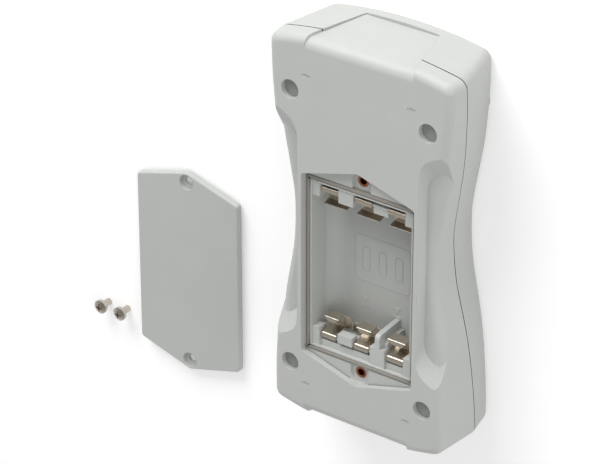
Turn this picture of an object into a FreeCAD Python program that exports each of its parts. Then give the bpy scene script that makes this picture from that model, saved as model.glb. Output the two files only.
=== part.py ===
"""Handheld electronics enclosure with a battery compartment for three AA cells.

The case lies on its front face with its rear side up, open, and the battery cover and its two
screws lie beside it. X runs across the case, Y along it towards its top end and Z up. The origin
is on the surface that the case lies on, midway between the four case screws. Depths are measured
down from the flat rear face.
"""

import FreeCAD, Part
import math
import os

from FreeCAD import Vector

os.makedirs("parts", exist_ok=True)

# Case, millimetres
CASE_DEPTH = 35.5
END_HALF_WIDTH = 41.8
WAIST_HALF_WIDTH = 34.2
WAIST_Y = 5.0
TOP_APEX_Y = 85.8
TOP_RADIUS = 185.0
BOTTOM_APEX_Y = -84.4
BOTTOM_RADIUS = 150.0
CORNER_RADIUS = 4.5
WALL = 2.5
REAR_EDGE_RADIUS = 3.6
FRONT_EDGE_RADIUS = 3.0

# Parting plane between the two shells, lower at the bottom end
PARTING_TILT = 4.8
PARTING_DEPTH = 15.3
REAR_DRAFT = 7.5
FRONT_DRAFT = 12.5
END_DRAFT = 1.0
REVEAL_WIDTH = 0.9
REVEAL_GAP = 0.5

# Shares of the waist's depth along the half length from the waist, for the side's curve
TOP_SIDE_SHAPE = ((0.12, 0.96), (0.22, 0.81), (0.34, 0.60), (0.48, 0.36), (0.66, 0.15), (0.84, 0.03))
BOTTOM_SIDE_SHAPE = ((0.17, 0.90), (0.27, 0.73), (0.41, 0.45), (0.56, 0.23), (0.72, 0.09), (0.88, 0.01))

# End panels, part of the rear shell, set below the arched ends
PANEL_REAR_HALF = 24.4
PANEL_FRONT_HALF = 16.4
PANEL_LENGTH = 29.0
PANEL_ROLL = 4.4
PANEL_THICKNESS = 1.6
PANEL_CLEARANCE = 0.15
TOP_PANEL_Y = 83.0
TOP_PANEL_RISE = 1.0
BOTTOM_PANEL_Y = -81.0
BOTTOM_PANEL_RISE = 0.6

# Grip scoops along both sides of the rear face
SCOOP_DEPTH = 4.0
SCOOP_INNER_X = 27.7
SCOOP_WALL_RUN = 1.3
SCOOP_TOP_Y = 46.5
SCOOP_BOTTOM_Y = -44.5
SCOOP_END_RUN = 7.0
SCOOP_END_SLOPE = 0.52
SCOOP_CORNER = 9.0
SCOOP_ROLL = 4.2

# Case screws, their holes, plugs and inserts
SCREW_X = 31.0
SCREW_Y = 60.0
SCREW_HOLE_RADIUS = 3.95
SCREW_TUBE_RADIUS = 5.7
SCREW_SEAT = 3.0
PLUG_DEPTH = 2.4
PLUG_LENGTH = 2.2
PLUG_CLEARANCE = 0.1
THREAD_RADIUS = 1.5
SHANK_CLEARANCE = 0.2
THREAD_CLEARANCE = 0.05
CASE_SCREW_LENGTH = 8.0
HEAD_RADIUS = 3.1
HEAD_HEIGHT = 2.3
CROWN_HEIGHT = 1.0
DRIVE_WIDTH = 0.8
DRIVE_LENGTH = 3.4
DRIVE_DEPTH = 1.2
INSERT_RADIUS = 2.5
INSERT_LENGTH = 5.0
TIP_ROOM = 1.0
BOSS_RADIUS = 4.4
MARK_X = 23.7
MARK_Y = 67.6
MARK_RADIUS = 0.7
MARK_DEPTH = 0.3

# Battery cover and the recess that takes it
COVER_Y = -13.6
COVER_HALF_WIDTH = 25.8
COVER_HALF_SIDE = 39.4
COVER_HALF_APEX = 47.0
COVER_CORNER = 1.6
COVER_CLEARANCE = 0.2
COVER_THICKNESS = 2.9
COVER_EDGE = 0.6
COVER_SCREW_Y = 42.35
COUNTERBORE_RADIUS = 3.4
COUNTERBORE_DEPTH = 1.6
RECESS_DEPTH = 3.0
LEDGE_THICKNESS = 2.0
POCKET_RADIUS = 4.2
POCKET_DEPTH = 4.2
COVER_BOSS_RADIUS = 5.4
COVER_BOSS_DEPTH = 10.7
COVER_SCREW_LENGTH = 5.0
LIP_HEIGHT = 1.4
LIP_WIDTH = 1.4
LIP_CLEARANCE = 0.3

# Where the cover and its screws lie beside the case
COVER_REST = (-105.4, -60.0)
COVER_SCREW_REST = ((-151.6, -91.7), (-141.4, -91.6))

# Battery compartment
CELL_PITCH = 15.2
CELL_DEPTH = 10.6
TROUGH_RADIUS = 7.45
RIDGE_DEPTH = 12.2
BAY_HALF_WIDTH = 22.9
BAY_TOP_Y = 22.2
BAY_BOTTOM_Y = -50.2
BAY_WALL = 1.5
SEAL_INSET = 0.7
SEAL_WIDTH = 2.0
SEAL_HEIGHT = 1.6
SEAL_PROUD = 0.3

# Contact holders: shelf, rib and blocks at both ends of the compartment
SHELF_DEPTH = 8.0
BOTTOM_SHELF = 5.4
TOP_SHELF = 3.6
RIB_DEPTH = 4.7
RIB_THICKNESS = 1.1
RIB_SETBACK = 0.2
BLOCK_WIDTH = 6.7
BLOCK_DEPTH = 3.6
LOW_BLOCK_DEPTH = 5.0
BLOCK_NOSE = 2.6
BLOCK_UNDERCUT = 7.4
CORNER_BLOCK_ROOM = 0.5
DIVIDER_THICKNESS = 1.8
DIVIDER_LENGTH = 9.0
DIVIDER_SHOULDER = (0.66, 0.3)

# Contacts, folded from strip
STRIP = 0.4
CONTACT_FIT = 0.1
HOOK_WIDTH = 7.8
SPRING_WIDTH = 10.4
BRIDGE_DEPTH = 8.6
BRIDGE_REACH = 3.4
BEND_RADIUS = 0.3
SPRING_LENGTH = 7.6
LEAF_PATH = ((0.0, 9.4), (2.4, 10.6), (6.1, 5.9), (7.3, 6.1), (SPRING_LENGTH, 14.0))
TONGUE_PATH = ((0.2, 10.8), (6.6, 11.2), (7.4, 7.6))

# Case seal in the front shell's rim
CASE_SEAL_WIDTH = 1.0
CASE_SEAL_DEPTH = 0.9
CASE_SEAL_INSET = 0.5

# Front face: a groove round its field, and the pillars behind it
FIELD_INSET = 9.0
FIELD_GROOVE_WIDTH = 1.0
FIELD_GROOVE_DEPTH = 0.6
PILLAR_RADIUS = 3.0
PILLAR_BORE = 1.1
PILLAR_HEIGHT = 6.0
PILLAR_X = 22.0
PILLAR_Y = 48.0

# Beyond everything, and what counts as touching
REACH = 120.0
TOUCH = 1e-4

PLUG_NAMES = ("top_left", "top_right", "bottom_left", "bottom_right")


def box(x0, x1, y0, y1, z0, z1):
    """Return a box between two corners."""
    return Part.makeBox(x1 - x0, y1 - y0, z1 - z0, Vector(x0, y0, z0))


def cylinder(radius, x, y, z0, z1):
    """Return an upright cylinder between two heights."""
    return Part.makeCylinder(radius, z1 - z0, Vector(x, y, z0))


def fused(solids):
    """Return one clean solid made of several that touch or overlap."""
    shape = solids[0].fuse(list(solids[1:])) if len(solids) > 1 else solids[0]
    return shape.removeSplitter()


def height(depth):
    """Return the height above the surface of a depth below the rear face."""
    return CASE_DEPTH - depth


def parting_height(y):
    """Return the height of the parting plane at a place along the case."""
    return height(PARTING_DEPTH) + y * math.tan(math.radians(PARTING_TILT))


def end_corner(half_width, apex_y, radius):
    """Return the centre of a corner arc and its tangent point on the arched end."""
    sign = math.copysign(1.0, apex_y)
    centre_y = apex_y - sign * radius
    reach = radius - CORNER_RADIUS
    corner_x = half_width - CORNER_RADIUS
    corner_y = centre_y + sign * math.sqrt(reach**2 - corner_x**2)
    touch = Vector(corner_x, corner_y - centre_y, 0).multiply(radius / reach)
    return Vector(corner_x, corner_y, 0), Vector(touch.x, touch.y + centre_y, 0)


def side_curve(side_inset, bottom_y, top_y):
    """Return the waisted side's spline from the bottom corner to the top corner."""
    waist = END_HALF_WIDTH - WAIST_HALF_WIDTH
    end_x = END_HALF_WIDTH - side_inset
    points = [Vector(end_x, bottom_y, 0)]
    for along, share in reversed(BOTTOM_SIDE_SHAPE):
        points.append(Vector(end_x - share * waist, WAIST_Y + along * (bottom_y - WAIST_Y), 0))
    points.append(Vector(end_x - waist, WAIST_Y, 0))
    for along, share in TOP_SIDE_SHAPE:
        points.append(Vector(end_x - share * waist, WAIST_Y + along * (top_y - WAIST_Y), 0))
    points.append(Vector(end_x, top_y, 0))
    curve = Part.BSplineCurve()
    curve.interpolate(Points=points, InitialTangent=Vector(0, 1, 0), FinalTangent=Vector(0, 1, 0))
    return curve


def mirrored_point(point):
    """Return a point on the other side of the case."""
    return Vector(-point.x, point.y, point.z)


def corner_arc(centre, start, end):
    """Return the short arc about a centre from one point to another."""
    middle = (start + end) * 0.5 - centre
    middle.normalize()
    return Part.Arc(start, centre + middle * CORNER_RADIUS, end).toShape()


def outline(side_inset, top_inset, bottom_inset, level):
    """Return the case's outline, drawn in from its widest, at a level from the parting plane."""
    half = END_HALF_WIDTH - side_inset
    top_apex = TOP_APEX_Y - top_inset
    bottom_apex = BOTTOM_APEX_Y + bottom_inset
    top_centre, top_touch = end_corner(half, top_apex, TOP_RADIUS)
    bottom_centre, bottom_touch = end_corner(half, bottom_apex, BOTTOM_RADIUS)
    right = side_curve(side_inset, bottom_centre.y, top_centre.y).toShape()
    left = right.mirror(Vector(0, 0, 0), Vector(1, 0, 0))
    top_side = Vector(half, top_centre.y, 0)
    bottom_side = Vector(half, bottom_centre.y, 0)
    edges = [
        right,
        corner_arc(top_centre, top_side, top_touch),
        Part.Arc(top_touch, Vector(0, top_apex, 0), mirrored_point(top_touch)).toShape(),
        corner_arc(mirrored_point(top_centre), mirrored_point(top_touch), mirrored_point(top_side)),
        left,
        corner_arc(mirrored_point(bottom_centre), mirrored_point(bottom_side), mirrored_point(bottom_touch)),
        Part.Arc(mirrored_point(bottom_touch), Vector(0, bottom_apex, 0), bottom_touch).toShape(),
        corner_arc(bottom_centre, bottom_touch, bottom_side),
    ]
    wire = Part.Wire(Part.__sortEdges__(edges))
    wire.translate(Vector(0, 0, level))
    return wire


def inset_outline(inset):
    """Return the case's outline at the parting plane, drawn in evenly."""
    return outline(inset, inset, inset, 0)


def on_parting(shape):
    """Return a shape drawn about the flat origin, set on the tilted parting plane."""
    placed = shape.copy()
    placed.rotate(Vector(0, 0, 0), Vector(1, 0, 0), PARTING_TILT)
    placed.translate(Vector(0, 0, height(PARTING_DEPTH)))
    return placed


def drafted(level, side_draft, side_inset, top_inset, bottom_inset):
    """Return the block between the parting plane and a level, its sides drawn in by a draft."""
    run = abs(level)
    lean = level * math.tan(math.radians(PARTING_TILT))
    end_draft = run * math.tan(math.radians(END_DRAFT))
    base = outline(side_inset, top_inset, bottom_inset, 0)
    far = outline(
        side_inset + run * math.tan(math.radians(side_draft)),
        top_inset + end_draft - lean,
        bottom_inset + end_draft + lean,
        level,
    )
    return on_parting(Part.makeLoft([base, far], True, True))


def rear_block(side_inset=0.0, top_inset=0.0, bottom_inset=0.0, roof=CASE_DEPTH):
    """Return the rear shell's outer or inner block, closed at the roof."""
    block = drafted(CASE_DEPTH, REAR_DRAFT, side_inset, top_inset, bottom_inset)
    return block.common(box(-REACH, REACH, -REACH, REACH, 0, roof))


def front_block(side_inset=0.0, top_inset=0.0, bottom_inset=0.0, floor=0.0):
    """Return the front shell's outer or inner block, closed at the floor."""
    block = drafted(-CASE_DEPTH, FRONT_DRAFT, side_inset, top_inset, bottom_inset)
    return block.common(box(-REACH, REACH, -REACH, REACH, floor, CASE_DEPTH))


def edges_at(shape, z):
    """Return the edges of a shape that lie flat at a height."""
    boxes = [(e, e.BoundBox) for e in shape.Edges]
    return [e for e, b in boxes if abs(b.ZMin - z) < TOUCH and abs(b.ZMax - z) < TOUCH]


def rounded_polygon(points, radii, z):
    """Return a closed wire through points, with an arc of its own radius at each corner."""
    count = len(points)
    starts = []
    ends = []
    middles = []
    for i, point in enumerate(points):
        before = (points[i - 1] - point).normalize()
        after = (points[(i + 1) % count] - point).normalize()
        half_angle = before.getAngle(after) / 2
        run = radii[i] / math.tan(half_angle)
        bisector = (before + after).normalize()
        starts.append(point + before * run)
        ends.append(point + after * run)
        middles.append(point + bisector * (radii[i] / math.sin(half_angle) - radii[i]))
    edges = []
    for i in range(count):
        if radii[i] > 0:
            edges.append(Part.Arc(starts[i], middles[i], ends[i]).toShape())
        following = starts[(i + 1) % count]
        if (following - ends[i]).Length > TOUCH:
            edges.append(Part.LineSegment(ends[i], following).toShape())
    wire = Part.Wire(edges)
    wire.translate(Vector(0, 0, z))
    return wire


def prism(wire, rise):
    """Return the solid that a flat wire sweeps straight up or down."""
    return Part.Face(wire).extrude(Vector(0, 0, rise))


def strip(path, radii, x0, x1):
    """Return a strip of metal folded along a path of (y, depth) corners, between two sides."""
    points = [Vector(0, y, height(depth)) for y, depth in path]
    normals = []
    for start, end in zip(points, points[1:]):
        run = (end - start).normalize()
        normals.append(Vector(0, -run.z, run.y))
    outer = []
    turns = []
    for i, point in enumerate(points):
        first = normals[max(i - 1, 0)]
        second = normals[min(i, len(normals) - 1)]
        miter = (first + second).normalize()
        outer.append(point + miter * (STRIP / miter.dot(first)))
        turns.append(first.cross(second).x)
    inner_radii = []
    outer_radii = []
    for turn, radius in zip(turns, radii):
        left = turn > 0
        inner_radii.append(radius + STRIP if left and radius else radius)
        outer_radii.append(radius if left or not radius else radius + STRIP)
    ring = points + outer[::-1]
    face = Part.Face(rounded_polygon(ring, inner_radii + outer_radii[::-1], 0))
    face.translate(Vector(x0, 0, 0))
    return face.extrude(Vector(x1 - x0, 0, 0))


def dome_screw(length):
    """Return a dome-headed screw with its tip at the origin and its head up."""
    top = length + HEAD_HEIGHT
    crown_radius = (HEAD_RADIUS**2 + CROWN_HEIGHT**2) / (2 * CROWN_HEIGHT)
    ball = Part.makeSphere(crown_radius, Vector(0, 0, top - crown_radius))
    head = cylinder(HEAD_RADIUS, 0, 0, length, top).common(ball)
    body = fused([cylinder(THREAD_RADIUS, 0, 0, 0, length), head])
    half = DRIVE_LENGTH / 2
    slot = DRIVE_WIDTH / 2
    along = box(-half, half, -slot, slot, top - DRIVE_DEPTH, top)
    across = box(-slot, slot, -half, half, top - DRIVE_DEPTH, top)
    return body.cut(fused([along, across]))


def ring_insert(radius, bore, x, y, top):
    """Return a brass insert, with its bore through, below a height."""
    sleeve = cylinder(radius, x, y, top - INSERT_LENGTH, top)
    return sleeve.cut(cylinder(bore, x, y, top - INSERT_LENGTH, top))


def corners(x, y):
    """Return the four places of a pattern about the origin."""
    return [(-x, y), (x, y), (-x, -y), (x, -y)]


def cover_screw_places(centre_y):
    """Return where the cover's two screws stand along it, given its centre."""
    return [centre_y - COVER_SCREW_Y, centre_y + COVER_SCREW_Y]


def cover_outline(inset, z):
    """Return the six-sided outline of the battery cover, drawn in from its recess."""
    x = COVER_HALF_WIDTH - inset
    side = COVER_HALF_SIDE - inset
    apex = COVER_HALF_APEX - inset
    points = [
        Vector(x, -side, 0),
        Vector(x, side, 0),
        Vector(0, apex, 0),
        Vector(-x, side, 0),
        Vector(-x, -side, 0),
        Vector(0, -apex, 0),
    ]
    radii = [COVER_CORNER, COVER_CORNER, 2 * COVER_CORNER] * 2
    return rounded_polygon(points, radii, z)


def scoop_tool(sign):
    """Return the block that a grip scoop takes out of one side of the rear face."""
    outer_x = END_HALF_WIDTH + SCOOP_CORNER

    def ring(inner_x, top_y, bottom_y, z):
        rise = (outer_x - inner_x) * SCOOP_END_SLOPE
        points = [
            Vector(outer_x, bottom_y - rise, 0),
            Vector(outer_x, top_y + rise, 0),
            Vector(inner_x, top_y, 0),
            Vector(inner_x, bottom_y, 0),
        ]
        return rounded_polygon(points, [0, 0, SCOOP_CORNER, SCOOP_CORNER], z)

    foot_x = SCOOP_INNER_X + SCOOP_WALL_RUN
    foot = ring(foot_x, SCOOP_TOP_Y - SCOOP_END_RUN, SCOOP_BOTTOM_Y + SCOOP_END_RUN, height(SCOOP_DEPTH))
    mouth = ring(SCOOP_INNER_X, SCOOP_TOP_Y, SCOOP_BOTTOM_Y, CASE_DEPTH)
    tool = Part.makeLoft([foot, mouth], True, True)
    return tool if sign > 0 else tool.mirror(Vector(0, 0, 0), Vector(1, 0, 0))


def straight(edge):
    """Return whether an edge runs straight."""
    return edge.Curve.TypeId == "Part::GeomLine"


def scoop_rims(skin):
    """Return the edges where the scoops' floors run out to the case's sides."""
    floor = edges_at(skin, height(SCOOP_DEPTH))
    foot_x = SCOOP_INNER_X + SCOOP_WALL_RUN
    reach = (SCOOP_TOP_Y - SCOOP_BOTTOM_Y) / 2
    return [e for e in floor if abs(e.CenterOfMass.x) > foot_x and e.Length > reach and not straight(e)]


def panel_region(clearance, sign):
    """Return the tapered plan of an end panel, as a tall block past the case's end."""
    rear = PANEL_REAR_HALF - clearance
    front = PANEL_FRONT_HALF - clearance
    low = height(PANEL_LENGTH) + clearance
    wire = Part.makePolygon(
        [
            Vector(-rear, 0, CASE_DEPTH),
            Vector(rear, 0, CASE_DEPTH),
            Vector(front, 0, low),
            Vector(-front, 0, low),
            Vector(-rear, 0, CASE_DEPTH),
        ]
    )
    return Part.Face(wire).extrude(Vector(0, sign * REACH, 0))


def panel_profile(panel_y, rise, drop):
    """Return what lies outside an end panel's face, seen from the side, as a block across."""
    sign = math.copysign(1.0, panel_y)
    rear_y = panel_y - sign * drop
    front_y = rear_y + sign * rise
    lean = rise / (PANEL_LENGTH - PANEL_ROLL)
    roll = PANEL_ROLL - drop
    bulge = roll * (1 - math.sin(math.pi / 4))
    start = Vector(0, rear_y - sign * roll, CASE_DEPTH)
    middle = Vector(0, rear_y - sign * bulge, CASE_DEPTH - bulge)
    end = Vector(0, rear_y, CASE_DEPTH - roll)
    edges = [Part.Arc(start, middle, end).toShape()]
    far_y = rear_y + sign * lean * CASE_DEPTH
    points = [
        Vector(0, rear_y, CASE_DEPTH - roll),
        Vector(0, far_y, CASE_DEPTH - roll - CASE_DEPTH),
        Vector(0, sign * REACH, CASE_DEPTH - roll - CASE_DEPTH),
        Vector(0, sign * REACH, CASE_DEPTH),
        Vector(0, rear_y - sign * roll, CASE_DEPTH),
    ]
    for start, end in zip(points, points[1:]):
        edges.append(Part.LineSegment(start, end).toShape())
    face = Part.Face(Part.Wire(Part.__sortEdges__(edges)))
    face.translate(Vector(-REACH, 0, 0))
    return face.extrude(Vector(2 * REACH, 0, 0))


PANELS = ((TOP_PANEL_Y, TOP_PANEL_RISE), (BOTTOM_PANEL_Y, BOTTOM_PANEL_RISE))


def panel_recesses():
    """Return what the end panels' recesses take out of the case."""
    recesses = []
    for y, rise in PANELS:
        recesses.append(panel_profile(y, rise, 0.0).common(panel_region(0.0, math.copysign(1.0, y))))
    return recesses


def panel_slabs(clearance):
    """Return the end panels as slabs behind their faces."""
    slabs = []
    for y, rise in PANELS:
        sign = math.copysign(1.0, y)
        slab = panel_profile(y, rise, PANEL_THICKNESS).cut(panel_profile(y, rise, 0.0))
        slabs.append(slab.common(panel_region(clearance, sign)))
    return slabs


def cavity_insets():
    """Return how far the cavity's straight ends stand in from the case's arched ends."""
    top = TOP_APEX_Y - (TOP_PANEL_Y - PANEL_THICKNESS - WALL)
    bottom = (BOTTOM_PANEL_Y + PANEL_THICKNESS + WALL) - BOTTOM_APEX_Y
    return top, bottom


def rear_cavity():
    """Return the space inside the rear shell, above the parting plane."""
    top, bottom = cavity_insets()
    cavity = rear_block(WALL, top, bottom, height(WALL))
    roof = height(SCOOP_DEPTH + WALL)
    inner = SCOOP_INNER_X - WALL
    low_y = SCOOP_BOTTOM_Y - SCOOP_END_RUN
    high_y = SCOOP_TOP_Y + SCOOP_END_RUN
    right = box(inner, REACH, low_y, high_y, roof, CASE_DEPTH)
    left = box(-REACH, -inner, low_y, high_y, roof, CASE_DEPTH)
    return cavity.cut([right, left])


def front_cavity():
    """Return the space inside the front shell, below the parting plane."""
    top, bottom = cavity_insets()
    return front_block(WALL, top, bottom, WALL)


def bay_space():
    """Return the open space of the battery compartment, with a round trough for each cell."""
    bottom = height(RIDGE_DEPTH)
    space = box(-BAY_HALF_WIDTH, BAY_HALF_WIDTH, BAY_BOTTOM_Y, BAY_TOP_Y, bottom, CASE_DEPTH)
    troughs = []
    for i in (-1, 0, 1):
        start = Vector(i * CELL_PITCH, BAY_BOTTOM_Y, height(CELL_DEPTH))
        troughs.append(Part.makeCylinder(TROUGH_RADIUS, BAY_TOP_Y - BAY_BOTTOM_Y, start, Vector(0, 1, 0)))
    return space.fuse(troughs)


def bay_block():
    """Return the outside of the battery compartment, one wall thick."""
    depth = CELL_DEPTH + TROUGH_RADIUS + BAY_WALL
    x = BAY_HALF_WIDTH + BAY_WALL + SEAL_INSET
    margin = BAY_WALL + SEAL_INSET
    return box(-x, x, BAY_BOTTOM_Y - margin, BAY_TOP_Y + margin, height(depth), CASE_DEPTH - WALL)


def seal_ring():
    """Return the ring that the battery seal fills in its groove."""
    x = BAY_HALF_WIDTH + SEAL_INSET
    y0 = BAY_BOTTOM_Y - SEAL_INSET
    y1 = BAY_TOP_Y + SEAL_INSET
    low = height(RECESS_DEPTH + SEAL_HEIGHT - SEAL_PROUD)
    high = height(RECESS_DEPTH - SEAL_PROUD)
    outer = box(-x - SEAL_WIDTH, x + SEAL_WIDTH, y0 - SEAL_WIDTH, y1 + SEAL_WIDTH, low, high)
    return outer.cut(box(-x, x, y0, y1, low, high))


def rib_start(shelf):
    """Return how far from the compartment's end wall a rib starts."""
    return shelf - RIB_SETBACK - RIB_THICKNESS


def end_boxes(end_y, inward, spans):
    """Return boxes given by their sides, their reach from an end wall and their depths."""
    boxes = []
    for x0, x1, near, far, top, bottom in spans:
        y0 = end_y + inward * near
        y1 = end_y + inward * far
        boxes.append(box(x0, x1, min(y0, y1), max(y0, y1), height(bottom), height(top)))
    return boxes


def holder(end_y, inward, shelf, block_depths, block_starts):
    """Return the shelf, rib, blocks and corner blocks that hold the contacts at one end."""
    x = BAY_HALF_WIDTH
    corner = CELL_PITCH + HOOK_WIDTH / 2 + CORNER_BLOCK_ROOM
    nose = shelf + BLOCK_NOSE
    rib = rib_start(shelf)
    floor = CELL_DEPTH + TROUGH_RADIUS
    spans = [
        (-x, x, 0, shelf, SHELF_DEPTH, floor),
        (-x, x, rib, rib + RIB_THICKNESS, RIB_DEPTH, SHELF_DEPTH),
        (-x, -corner, 0, nose, BLOCK_DEPTH, SHELF_DEPTH),
        (corner, x, 0, nose, BLOCK_DEPTH, SHELF_DEPTH),
    ]
    half = BLOCK_WIDTH / 2
    for side, top, start in zip((-1, 1), block_depths, block_starts):
        middle = side * CELL_PITCH / 2
        spans.append((middle - half, middle + half, start, shelf, top, SHELF_DEPTH))
        spans.append((middle - half, middle + half, shelf, nose, top, BLOCK_UNDERCUT))
    return end_boxes(end_y, inward, spans)


def divider():
    """Return the curved wall that keeps the last two cells apart at the bottom end."""
    x = CELL_PITCH / 2 - DIVIDER_THICKNESS / 2
    floor = height(RIDGE_DEPTH)
    top = height(BLOCK_DEPTH)
    start = BAY_BOTTOM_Y + BOTTOM_SHELF
    nose = start + DIVIDER_LENGTH
    foot = Vector(x, start, floor)
    crown = Vector(x, start, top)
    tip = Vector(x, nose, floor)
    along, down = DIVIDER_SHOULDER
    bulge = Vector(x, start + along * DIVIDER_LENGTH, top - down * (top - floor))
    profile = [
        Part.LineSegment(foot, crown).toShape(),
        Part.Arc(crown, bulge, tip).toShape(),
        Part.LineSegment(tip, foot).toShape(),
    ]
    return Part.Face(Part.Wire(profile)).extrude(Vector(DIVIDER_THICKNESS, 0, 0))


def holders():
    """Return everything that stands inside the compartment."""
    even = (BLOCK_DEPTH, BLOCK_DEPTH)
    lower_right = (BLOCK_DEPTH, LOW_BLOCK_DEPTH)
    bottom = holder(BAY_BOTTOM_Y, 1, BOTTOM_SHELF, even, (rib_start(BOTTOM_SHELF), 0))
    top = holder(BAY_TOP_Y, -1, TOP_SHELF, lower_right, (0, rib_start(TOP_SHELF)))
    return fused(bottom + top + [divider()])


def screw_seat(y):
    """Return the height of a case screw's head seat."""
    return parting_height(y) + SCREW_SEAT


def make_rear_shell():
    """Return the rear shell: skin, end panels, grip scoops, screw tubes and compartment."""
    skin = rear_block()
    skin = skin.makeFillet(REAR_EDGE_RADIUS, edges_at(skin, CASE_DEPTH))
    skin = skin.cut(panel_recesses())
    skin = skin.cut([scoop_tool(1), scoop_tool(-1)])
    skin = skin.makeFillet(SCOOP_ROLL, scoop_rims(skin))
    shell = skin.cut(rear_cavity())
    parts = [shell, bay_block()]
    parts += panel_slabs(PANEL_CLEARANCE)
    ledge = prism(cover_outline(-BAY_WALL, height(RECESS_DEPTH + LEDGE_THICKNESS)), LEDGE_THICKNESS)
    parts.append(ledge.translate(Vector(0, COVER_Y, 0)))
    above = on_parting(box(-REACH, REACH, -REACH, REACH, 0, REACH))
    for x, y in corners(SCREW_X, SCREW_Y):
        parts.append(cylinder(SCREW_TUBE_RADIUS, x, y, 0, height(WALL)).common(above))
    for y in cover_screw_places(COVER_Y):
        parts.append(cylinder(COVER_BOSS_RADIUS, 0, y, height(COVER_BOSS_DEPTH), height(WALL)))
    shell = fused(parts)
    cuts = [prism(cover_outline(0.0, height(RECESS_DEPTH)).translate(Vector(0, COVER_Y, 0)), RECESS_DEPTH)]
    cuts.append(bay_space().cut(holders()))
    cuts.append(seal_ring())
    seal_ends = (BAY_BOTTOM_Y - SEAL_INSET - SEAL_WIDTH, BAY_TOP_Y + SEAL_INSET + SEAL_WIDTH)
    for y, seal_y in zip(cover_screw_places(COVER_Y), seal_ends):
        low = height(POCKET_DEPTH)
        high = height(RECESS_DEPTH)
        cuts.append(cylinder(POCKET_RADIUS, 0, y, low, high))
        cuts.append(box(-POCKET_RADIUS, POCKET_RADIUS, min(y, seal_y), max(y, seal_y), low, high))
        cuts.append(cylinder(INSERT_RADIUS, 0, y, low - INSERT_LENGTH, low))
    for x, y in corners(SCREW_X, SCREW_Y):
        cuts.append(cylinder(SCREW_HOLE_RADIUS, x, y, screw_seat(y), CASE_DEPTH))
        cuts.append(cylinder(THREAD_RADIUS + SHANK_CLEARANCE, x, y, 0, screw_seat(y)))
    for x, y in corners(MARK_X, MARK_Y):
        cuts.append(cylinder(MARK_RADIUS, x, y, height(MARK_DEPTH), CASE_DEPTH))
    return shell.cut(cuts).removeSplitter()


def seal_path(inset, depth):
    """Return the block inside a line in the front shell's rim, just below the parting plane."""
    top, bottom = cavity_insets()
    side = WALL - inset
    wire = outline(side, top - inset, bottom - inset, 0)
    return on_parting(prism(wire, -depth))


def case_seal_ring():
    """Return the ring that the case seal fills in the front shell's rim."""
    outer = seal_path(CASE_SEAL_INSET + CASE_SEAL_WIDTH, CASE_SEAL_DEPTH)
    return outer.cut(seal_path(CASE_SEAL_INSET, CASE_SEAL_DEPTH))


def make_front_shell():
    """Return the front shell: tray, bosses, pillars and a groove round the field of its face."""
    tray = front_block()
    tray = tray.makeFillet(FRONT_EDGE_RADIUS, edges_at(tray, 0))
    tray = tray.cut(front_cavity())
    parts = [tray]
    below = on_parting(box(-REACH, REACH, -REACH, REACH, -REACH, 0))
    for x, y in corners(SCREW_X, SCREW_Y):
        parts.append(cylinder(BOSS_RADIUS, x, y, 0, CASE_DEPTH).common(below))
    for x, y in corners(PILLAR_X, PILLAR_Y):
        parts.append(cylinder(PILLAR_RADIUS, x, y, 0, WALL + PILLAR_HEIGHT))
    shell = fused(parts)
    cuts = panel_recesses() + panel_slabs(0.0) + [case_seal_ring()]
    around = on_parting(prism(inset_outline(-REVEAL_WIDTH), -REVEAL_GAP))
    cuts.append(around.cut(on_parting(prism(inset_outline(REVEAL_WIDTH), -REVEAL_GAP))))
    field = prism(inset_outline(FIELD_INSET), FIELD_GROOVE_DEPTH)
    cuts.append(field.cut(prism(inset_outline(FIELD_INSET + FIELD_GROOVE_WIDTH), FIELD_GROOVE_DEPTH)))
    for x, y in corners(SCREW_X, SCREW_Y):
        top = insert_top(y)
        low = top - INSERT_LENGTH
        cuts.append(cylinder(INSERT_RADIUS, x, y, low, top))
        cuts.append(cylinder(THREAD_RADIUS + SHANK_CLEARANCE, x, y, low - TIP_ROOM, CASE_DEPTH))
    for x, y in corners(PILLAR_X, PILLAR_Y):
        cuts.append(cylinder(PILLAR_BORE, x, y, WALL, WALL + PILLAR_HEIGHT))
    return shell.cut(cuts).removeSplitter()


def insert_top(y):
    """Return the height of the top of a case insert, just under the parting plane."""
    return parting_height(y) - INSERT_RADIUS * math.tan(math.radians(PARTING_TILT))


def make_cover():
    """Return the battery cover, outer face up, resting on its lip at its place beside the case."""
    plate = prism(cover_outline(COVER_CLEARANCE, LIP_HEIGHT), COVER_THICKNESS)
    top = LIP_HEIGHT + COVER_THICKNESS
    plate = plate.makeFillet(COVER_EDGE, edges_at(plate, top))
    x = BAY_HALF_WIDTH - LIP_CLEARANCE
    y0 = BAY_BOTTOM_Y + LIP_CLEARANCE - COVER_Y
    y1 = BAY_TOP_Y - LIP_CLEARANCE - COVER_Y
    lip = box(-x, x, y0, y1, 0, LIP_HEIGHT)
    lip = lip.cut(box(-x + LIP_WIDTH, x - LIP_WIDTH, y0 + LIP_WIDTH, y1 - LIP_WIDTH, 0, LIP_HEIGHT))
    cover = fused([plate, lip])
    cuts = []
    for y in cover_screw_places(0):
        cuts.append(cylinder(COUNTERBORE_RADIUS, 0, y, top - COUNTERBORE_DEPTH, top))
        cuts.append(cylinder(THREAD_RADIUS + SHANK_CLEARANCE, 0, y, LIP_HEIGHT, top))
    cover = cover.cut(cuts).removeSplitter()
    cover.translate(Vector(COVER_REST[0], COVER_REST[1], 0))
    return cover


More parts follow.
